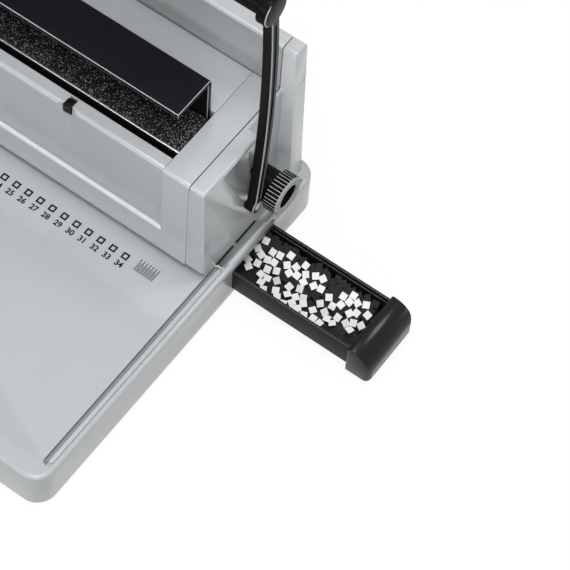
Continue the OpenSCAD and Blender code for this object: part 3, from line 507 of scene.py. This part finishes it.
# Edge rounding in millimetres for the mouldings and sheet parts that show
ROUNDED = {"base_tray": 0.5, "housing": 0.35, "front_cover": 0.35, "top_cover": 0.35, "rear_cover": 0.5,
           "right_end_cover": 0.45, "left_end_cover": 0.45, "press_bar": 0.36, "right_lever_arm": 0.8,
           "left_lever_arm": 0.8, "chip_drawer": 0.25, "drawer_handle": 0.6, "edge_guide": 0.4,
           "cover_latch": 0.5, "bed_edge": 0.2, "stop_cam": 0.3}
ROUND_SEGMENTS = 3
SHARP_ANGLE = math.radians(28)
FLAT_ANGLE = math.radians(0.5)
SMOOTH_ANGLE = math.radians(35)
COIL_ANGLE = math.radians(70)
MERGE_DISTANCE = 0.004 * MM

# Finish of the rounded edges where it differs from the faces: painted highlights on the silver parts, the press bar
# and the drawer
EDGE_FINISH = {"press_bar": BLACK_EDGE_HIGHLIGHT, "chip_drawer": DIM_EDGE_HIGHLIGHT, "right_lever_arm": BLACK_GLOSS,
               "left_lever_arm": BLACK_GLOSS, "base_tray": SILVER_EDGE_HIGHLIGHT, "right_end_cover": SILVER_EDGE_HIGHLIGHT,
               "left_end_cover": SILVER_EDGE_HIGHLIGHT, "front_cover": SILVER_EDGE_HIGHLIGHT, "housing": SILVER_EDGE_HIGHLIGHT}


def mark_outer_edges(piece):
    """Bevel weight 1 on the sharp edges that stand out, 0 on inner corners."""
    shape = bmesh.new()
    shape.from_mesh(piece.data)
    weight = shape.edges.layers.float.new("bevel_weight_edge")
    for edge in shape.edges:
        if len(edge.link_faces) == 2 and edge.calc_face_angle_signed() > SHARP_ANGLE:
            edge[weight] = 1.0
    shape.to_mesh(piece.data)
    shape.free()


def stand_in(name, ending):
    """A merged copy of a CAD node that stands for it, rides as it does and is left active."""
    piece = copy_mesh(nodes[name])
    piece.name = name + ending
    for key in list(piece.keys()):
        del piece[key]
    piece.parent = None
    pick(piece)
    bpy.ops.object.mode_set(mode="EDIT")
    bpy.ops.mesh.select_all(action="SELECT")
    bpy.ops.mesh.remove_doubles(threshold=MERGE_DISTANCE)
    bpy.ops.mesh.customdata_custom_splitnormals_clear()
    bpy.ops.object.mode_set(mode="OBJECT")
    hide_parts(name)
    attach(piece, nodes[name]["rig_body"])
    return piece


def spring_coils():
    """The return springs as a smoothly shaded copy that stands for the CAD node."""
    coils = stand_in("return_springs", "_coils")
    bpy.ops.object.shade_smooth_by_angle(angle=COIL_ANGLE)
    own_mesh(coils)


def soften(name, width):
    """A copy of a CAD node with its edges rounded, which stands for that node."""
    piece = stand_in(name, "_rounded")
    bpy.ops.object.mode_set(mode="EDIT")
    bpy.ops.mesh.select_all(action="SELECT")
    bpy.ops.mesh.dissolve_limited(angle_limit=FLAT_ANGLE)
    bpy.ops.object.mode_set(mode="OBJECT")
    edged = name in EDGE_FINISH
    if edged:
        piece.data.materials.append(EDGE_FINISH[name])
    mark_outer_edges(piece)
    apply_modifier(piece, "BEVEL", width=width * MM, segments=ROUND_SEGMENTS, limit_method="WEIGHT",
                   use_clamp_overlap=True, miter_outer="MITER_ARC", material=1 if edged else -1)
    bpy.ops.object.shade_smooth_by_angle(angle=SMOOTH_ANGLE)
    return piece


# Lever arm: width above which a face belongs to its front, and how far faces look forwards and outwards
WIDE_FACE = 2.0 * MM
FORWARD = -0.7
OUTWARD = 0.05


def wide_in_x(piece, face):
    places = [piece.data.vertices[index].co.x for index in face.vertices]
    return max(places) - min(places) > WIDE_FACE


def paint_edges(arm, side, start, finish):
    """Gives the rounded outer edges next to the start faces another finish, a painted highlight."""
    slot = len(arm.data.materials)
    arm.data.materials.append(finish)
    faces = arm.data.polygons
    beside = {}
    for face in faces:
        for edge in face.edge_keys:
            beside.setdefault(edge, []).append(face.index)
    reached = start
    for step in range(ROUND_SEGMENTS):
        found = []
        for index in reached:
            for edge in faces[index].edge_keys:
                for other in beside[edge]:
                    if faces[other].material_index == 1 and faces[other].normal.x * side > OUTWARD:
                        faces[other].material_index = slot
                        found.append(other)
        reached = found


def edge_lines(arm, side):
    """A painted highlight along the front of a lever arm and a dim one behind its groove."""
    facing = [face for face in arm.data.polygons if face.material_index == 0 and face.normal.y < FORWARD]
    front = [face.index for face in facing if wide_in_x(arm, face)]
    groove = [face.index for face in facing if not wide_in_x(arm, face)]
    paint_edges(arm, side, front, BLACK_EDGE_HIGHLIGHT)
    paint_edges(arm, side, groove, DIM_EDGE_HIGHLIGHT)


# Printed hole marks and numbers, and the ruler beside them: ticks as width and far end
HOLE_COUNT = 34
HOLE_PITCH = 25.4 / 3 * MM
MARK_SIZE = 3.2 * MM
MARK_LINE = 1.08 * MM
MARK_ROW_Y = 13.0 * MM
NUMBER_ROW_Y = 6.9 * MM
NUMBER_HEIGHT = 5.0 * MM
NUMBER_WEIGHT = 0.16 * MM
INK_RISE = 0.04 * MM
RULER_START = 148.5 * MM
RULER_STEP = 2.0 * MM
RULER_LONG_TICKS = 7
LONG_TICK = (0.5 * MM, 17.0 * MM)
SHORT_TICK = (0.38 * MM, 14.6 * MM)
TICK_FOOT_Y = 8.8 * MM


def flat_bar(low, high, z):
    """A thin flat bar of ink between two corners."""
    deselect_all()
    bpy.ops.mesh.primitive_plane_add(size=1.0)
    bar = bpy.context.object
    bar.scale = (high[0] - low[0], high[1] - low[1], 1.0)
    bar.location = ((low[0] + high[0]) / 2, (low[1] + high[1]) / 2, z)
    return bar


def hole_mark(z):
    """A square outline: a plane, inset, with its middle taken out."""
    deselect_all()
    bpy.ops.mesh.primitive_plane_add(size=MARK_SIZE + MARK_LINE)
    bpy.ops.object.mode_set(mode="EDIT")
    bpy.ops.mesh.select_all(action="SELECT")
    bpy.ops.mesh.inset(thickness=MARK_LINE, depth=0.0)
    bpy.ops.mesh.delete(type="FACE")
    bpy.ops.object.mode_set(mode="OBJECT")
    mark = bpy.context.object
    mark.location.z = z
    return mark


def number(value, x, z):
    """A printed number, turned into a mesh."""
    deselect_all()
    bpy.ops.object.text_add()
    label = bpy.context.object
    label.data.body = str(value)
    label.data.align_x = "CENTER"
    label.data.align_y = "CENTER"
    label.data.size = NUMBER_HEIGHT
    label.data.offset = NUMBER_WEIGHT
    bpy.ops.object.convert(target="MESH")
    label = bpy.context.object
    label.location = (x, NUMBER_ROW_Y, z)
    return label


def tray_print():
    """Hole marks, numbers and ruler as one thin layer of ink."""
    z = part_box("base_tray")[1].z + INK_RISE
    first = hole_mark(z)
    inks = []
    for i in range(HOLE_COUNT):
        x = (i - (HOLE_COUNT - 1) / 2) * HOLE_PITCH
        mark = copy_mesh(first)
        mark.location = (x, MARK_ROW_Y, z)
        inks += [mark, number(i + 1, x, z)]
    bpy.data.objects.remove(first)
    for i in range(2 * RULER_LONG_TICKS - 1):
        x = RULER_START + i * RULER_STEP / 2
        width, end_y = SHORT_TICK if i % 2 else LONG_TICK
        inks.append(flat_bar((x - width / 2, TICK_FOOT_Y), (x + width / 2, end_y), z))
    ink = join(inks, "tray_print")
    apply_modifier(ink, "SOLIDIFY", thickness=INK_RISE * 0.5)
    dress(ink, INK)
    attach(ink, "root")


def rounded_strip(name, size, at, rounding, lean=0.0):
    """A bar with rounded edges, turned about X by its lean."""
    deselect_all()
    bpy.ops.mesh.primitive_cube_add(size=1.0)
    strip = bpy.context.object
    strip.scale = size
    strip.rotation_euler.x = lean
    strip.location = at
    bpy.ops.object.transform_apply(location=True, rotation=True, scale=True)
    apply_modifier(strip, "BEVEL", width=rounding, segments=2)
    strip.name = name
    return strip


def side_name(side):
    return "right" if side > 0 else "left"


# Dark strips as painted shade in the vents at the foot of the end covers, in mm: start from the cover's front, and
# length
VENTS = [(12.5, 16.0), (30.5, 18.5)]
SHADE_STRIP_OUT = 0.6
SHADE_STRIP_WIDTH = 5.0
SHADE_STRIP_HEIGHT = 0.5
SHADE_STRIP_SINK = 0.1
SHADE_STRIP_PLAY = 0.3
SHADE_STRIP_ROUND = 0.15


def vent_foam(side, start, length):
    """One dark strip of painted shade on the tray's top that looks out of a vent a little."""
    low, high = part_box("right_end_cover" if side > 0 else "left_end_cover")
    face_x = high.x if side > 0 else low.x
    size = (SHADE_STRIP_WIDTH * MM, (length - 2 * SHADE_STRIP_PLAY) * MM, SHADE_STRIP_HEIGHT * MM)
    at = (face_x + side * (SHADE_STRIP_OUT - SHADE_STRIP_WIDTH / 2) * MM, low.y + (start + length / 2) * MM,
          low.z + (SHADE_STRIP_HEIGHT / 2 - SHADE_STRIP_SINK) * MM)
    strip = rounded_strip("vent_foam_{}_{:.0f}".format(side_name(side), start), size, at, SHADE_STRIP_ROUND * MM)
    dress(strip, BLACK_PAPER)
    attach(strip, "root")


# Strips in the front joints of end blocks and end covers, in mm: foot and top over the housing's foot, depth behind
# the front, which leans back
JOINT_FOOT = 3.0
JOINT_TOP = 71.0
JOINT_DEPTH = 0.25
JOINT_THICKNESS = 1.2
JOINT_PLAY = 0.04
JOINT_ROUND = 0.1
FRONT_LEAN = 1.4 / 80


def joint_strip(side):
    """A strip that closes the joint just behind the leaning fronts and leaves a notch at the foot."""
    low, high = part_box("housing")
    cover_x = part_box("right_end_cover")[0].x
    middle = (JOINT_FOOT + JOINT_TOP) / 2 * MM
    size = (cover_x - high.x - 2 * JOINT_PLAY * MM, JOINT_THICKNESS * MM, (JOINT_TOP - JOINT_FOOT) * MM)
    at = (side * (high.x + cover_x) / 2, low.y + (JOINT_DEPTH + JOINT_THICKNESS / 2) * MM + FRONT_LEAN * middle,
          low.z + middle)
    strip = rounded_strip("joint_strip_" + side_name(side), size, at, JOINT_ROUND * MM, -math.atan(FRONT_LEAN))
    dress(strip, SILVER)
    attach(strip, "root")


# Punched paper squares in the drawer, in mm
CHIP_SIZE = 4.0
CHIP_T = 0.12
CHIP_CORNER = 1.4
CHIP_CURL = 0.25
CHIP_TILT = 0.09
DRAWER_FLOOR = 1.8

# Their areas from the base's side and the drawer's front wall, and round bare spots as place and radius
WHITE_AREA = ((-3.0, 5.5), (73.5, 31.0))
WHITE_COUNT = 70
INNER_AREA = ((-64.0, 5.5), (-7.0, 31.0))
INNER_COUNT = 48
WHITE_SPACING = 3.7
WHITE_LIFT = 1.2
DARK_AREA = ((-3.0, 20.0), (74.0, 34.0))
DARK_COUNT = 110
DARK_SPACING = 2.4
BARE_SPOTS = [(3.0, 8.0, 7.0), (41.0, 20.0, 5.0), (23.0, 4.0, 4.0), (66.0, 6.0, 10.0), (75.0, 13.0, 7.0),
              (46.0, 31.0, 6.0)]
PLACE_TRIES = 20000

# They lie flat in front and on a slope behind, each a little over the chips that it touches
HEAP_START = 17.0
HEAP_SLOPE = 0.62
CHIP_REST = 0.3
CHIP_STEP = 0.13
MOST_STEPS = 4
TOUCH_REACH = 1.2 * CHIP_SIZE


def paper_chip():
    """One punched square with two corners curled up."""
    deselect_all()
    bpy.ops.mesh.primitive_grid_add(x_subdivisions=4, y_subdivisions=4, size=CHIP_SIZE * MM)
    chip = bpy.context.object
    reach = CHIP_SIZE / 2 * MM
    for vertex in chip.data.vertices:
        vertex.select = abs(vertex.co.x + vertex.co.y) > CHIP_CORNER * reach
    bpy.ops.object.mode_set(mode="EDIT")
    bpy.ops.transform.translate(value=(0.0, 0.0, CHIP_CURL * MM))
    bpy.ops.object.mode_set(mode="OBJECT")
    apply_modifier(chip, "SOLIDIFY", thickness=CHIP_T * MM)
    return chip


def spots(draw, area, count, spacing, bare):
    """Places in an area, kept apart, none of them on a bare spot."""
    (low_x, low_y), (high_x, high_y) = area
    found = []
    for attempt in range(PLACE_TRIES):
        x, y = draw.uniform(low_x, high_x), draw.uniform(low_y, high_y)
        if any(math.hypot(x - bx, y - by) < r for bx, by, r in bare):
            continue
        if all(math.hypot(x - px, y - py) > spacing for px, py in found):
            found.append((x, y))
        if len(found) == count:
            break
    return found


def scatter(name, area, count, spacing, bare, lift, seed, material):
    """Chips on the drawer's floor, and on a slope that rises towards the back wall."""
    draw = random.Random(seed)
    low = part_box("chip_drawer")[0]
    side_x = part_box("base_tray")[1].x
    floor_z = low.z + DRAWER_FLOOR * MM
    chip = paper_chip()
    chips = []
    for x, y in spots(draw, area, count, spacing, bare):
        near = sum(1 for twin in chips if math.hypot(twin.location.x - side_x - x * MM,
                                                     twin.location.y - low.y - y * MM) < TOUCH_REACH * MM)
        slope = math.atan(HEAP_SLOPE) if y > HEAP_START else 0.0
        twin = copy_mesh(chip)
        lean = Matrix.Rotation(slope + draw.gauss(0, CHIP_TILT), 3, "X")
        lean = lean @ Matrix.Rotation(draw.gauss(0, CHIP_TILT), 3, "Y")
        twin.rotation_euler = (lean @ Matrix.Rotation(draw.uniform(0, math.pi), 3, "Z")).to_euler()
        rise = max(0.0, y - HEAP_START) * HEAP_SLOPE + CHIP_REST + CHIP_STEP * min(near, MOST_STEPS) + lift
        twin.location = (side_x + x * MM, low.y + y * MM, floor_z + rise * MM)
        chips.append(twin)
    bpy.data.objects.remove(chip)
    heap = join(chips, name)
    dress(heap, material)
    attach(heap, "drawer")


# Light and floor
WHITE = (1.0, 1.0, 1.0, 1.0)
SKY_LEVEL = 0.24
FLOOR_SIZE = 12.0
FLOOR_PAINT = (0.9, 0.9, 0.9, 1.0)
FLOOR_BOUNCE = (0.4, 0.4, 0.4, 1.0)
FLOOR_WHITE = 0.9

# Lamps: name, place, aim, size in metres, and power in watts
LAMPS = [
    ("top", (0.25, -0.2, 2.2), (0.1, 0.0, 0.1), (1.2, 1.2), 31),
    ("fill", (0.75, -0.95, 2.0), (0.15, 0.0, 0.1), (0.7, 0.7), 11),
    ("front", (-0.45, -1.75, 0.95), (0.1, 0.0, 0.1), (1.3, 0.08), 8),
    ("side", (1.4, -1.4, 0.8), (0.15, 0.0, 0.1), (0.7, 0.7), 6),
    ("right", (1.6, 1.5, 0.4), (0.15, 0.05, 0.1), (0.5, 0.5), 2),
    ("back", (0.78, 0.94, 1.7), (0.2, 0.06, 0.05), (0.45, 0.45), 6),
]


def area_light(name, at, aim, size, power):
    data = bpy.data.lights.new(name, "AREA")
    data.shape = "RECTANGLE"
    data.size, data.size_y = size
    data.energy = power
    lamp = bpy.data.objects.new(name, data)
    lamp.location = at
    lamp.rotation_euler = (Vector(aim) - Vector(at)).to_track_quat("-Z", "Y").to_euler()
    bpy.context.scene.collection.objects.link(lamp)


def seen_directly(tree):
    """1 for camera, glossy and transmission rays, 0 for the light that falls on surfaces."""
    path = add(tree, "ShaderNodeLightPath").outputs
    first = calc(tree, "MAXIMUM", path["Is Camera Ray"], path["Is Glossy Ray"])
    return calc(tree, "MAXIMUM", first, path["Is Transmission Ray"])


def floor():
    """A floor that looks white and throws less light back on the part."""
    deselect_all()
    bpy.ops.mesh.primitive_plane_add(size=FLOOR_SIZE)
    ground = bpy.context.object
    ground.name = "floor"
    material, tree, shader, _ = new_finish("pale floor")
    bounced = add(tree, "ShaderNodeLightPath").outputs["Is Diffuse Ray"]
    tree.links.new(blend(tree, bounced, FLOOR_PAINT, FLOOR_BOUNCE), shader.inputs["Base Color"])
    set_sockets(shader, Roughness=0.9)
    glow = add(tree, "ShaderNodeEmission", [("Color", WHITE), ("Strength", 1.0)])
    share = calc(tree, "MULTIPLY", seen_directly(tree), FLOOR_WHITE)
    mix = add(tree, "ShaderNodeMixShader", [(0, share), (1, shader.outputs[0]), (2, glow.outputs[0])])
    tree.links.new(mix.outputs[0], tree.nodes["Material Output"].inputs["Surface"])
    dress(ground, material)


def world():
    """A soft white sky that looks fully white where it is seen."""
    sky = bpy.data.worlds.new("studio")
    sky.use_nodes = True
    bpy.context.scene.world = sky
    tree = sky.node_tree
    soft = tree.nodes["Background"]
    set_sockets(soft, Color=WHITE, Strength=SKY_LEVEL)
    plain = add(tree, "ShaderNodeBackground", [("Color", WHITE), ("Strength", 1.0)])
    mix = add(tree, "ShaderNodeMixShader", [(0, seen_directly(tree)), (1, soft.outputs[0]), (2, plain.outputs[0])])
    tree.links.new(mix.outputs[0], tree.nodes["World Output"].inputs["Surface"])


# Camera of the photograph, fitted on the printed hole marks
PHOTO_PIXELS = 570
FOCAL_PIXELS = 2476
SENSOR_MM = 36.0
CAMERA_AT = Vector((0.5792, -0.5454, 1.1860))
CAMERA_AZIMUTH = math.radians(31.06)
CAMERA_ELEVATION = math.radians(58.92)
CAMERA_ROLL = math.radians(5.60)
CAMERA_REACH = 50.0


def camera():
    """The camera, from its place, angles and focal length."""
    forward = Vector((-math.sin(CAMERA_AZIMUTH) * math.cos(CAMERA_ELEVATION),
                      math.cos(CAMERA_AZIMUTH) * math.cos(CAMERA_ELEVATION), -math.sin(CAMERA_ELEVATION)))
    level = Vector((math.cos(CAMERA_AZIMUTH), math.sin(CAMERA_AZIMUTH), 0.0))
    upright = level.cross(forward)
    right = math.cos(CAMERA_ROLL) * level + math.sin(CAMERA_ROLL) * upright
    up = -math.sin(CAMERA_ROLL) * level + math.cos(CAMERA_ROLL) * upright
    data = bpy.data.cameras.new("camera")
    data.sensor_width = SENSOR_MM
    data.lens = FOCAL_PIXELS / PHOTO_PIXELS * SENSOR_MM
    data.clip_end = CAMERA_REACH
    eye = bpy.data.objects.new("camera", data)
    turn = Matrix((right, up, -forward)).transposed()
    eye.matrix_world = Matrix.Translation(CAMERA_AT) @ turn.to_4x4()
    bpy.context.scene.collection.objects.link(eye)
    bpy.context.scene.camera = eye


camera()
finish_nodes()
softened = {name: soften(name, width) for name, width in ROUNDED.items()}
edge_lines(softened["right_lever_arm"], 1)
edge_lines(softened["left_lever_arm"], -1)
spring_coils()
tray_print()
for end_side in (1, -1):
    joint_strip(end_side)
    # Dark strips in the vents stand for the shade inside them
    for shade_start, shade_length in VENTS:
        vent_foam(end_side, shade_start, shade_length)
scatter("paper_chips", WHITE_AREA, WHITE_COUNT, WHITE_SPACING, BARE_SPOTS, lift=WHITE_LIFT, seed=9,
        material=WHITE_PAPER)
scatter("inner_chips", INNER_AREA, INNER_COUNT, WHITE_SPACING, [], lift=WHITE_LIFT, seed=3, material=WHITE_PAPER)
scatter("dark_chips", DARK_AREA, DARK_COUNT, DARK_SPACING, [], lift=0.0, seed=11, material=BLACK_PAPER)
floor()
world()
for lamp_values in LAMPS:
    area_light(*lamp_values)
bpy.context.scene.view_settings.view_transform = "Standard"
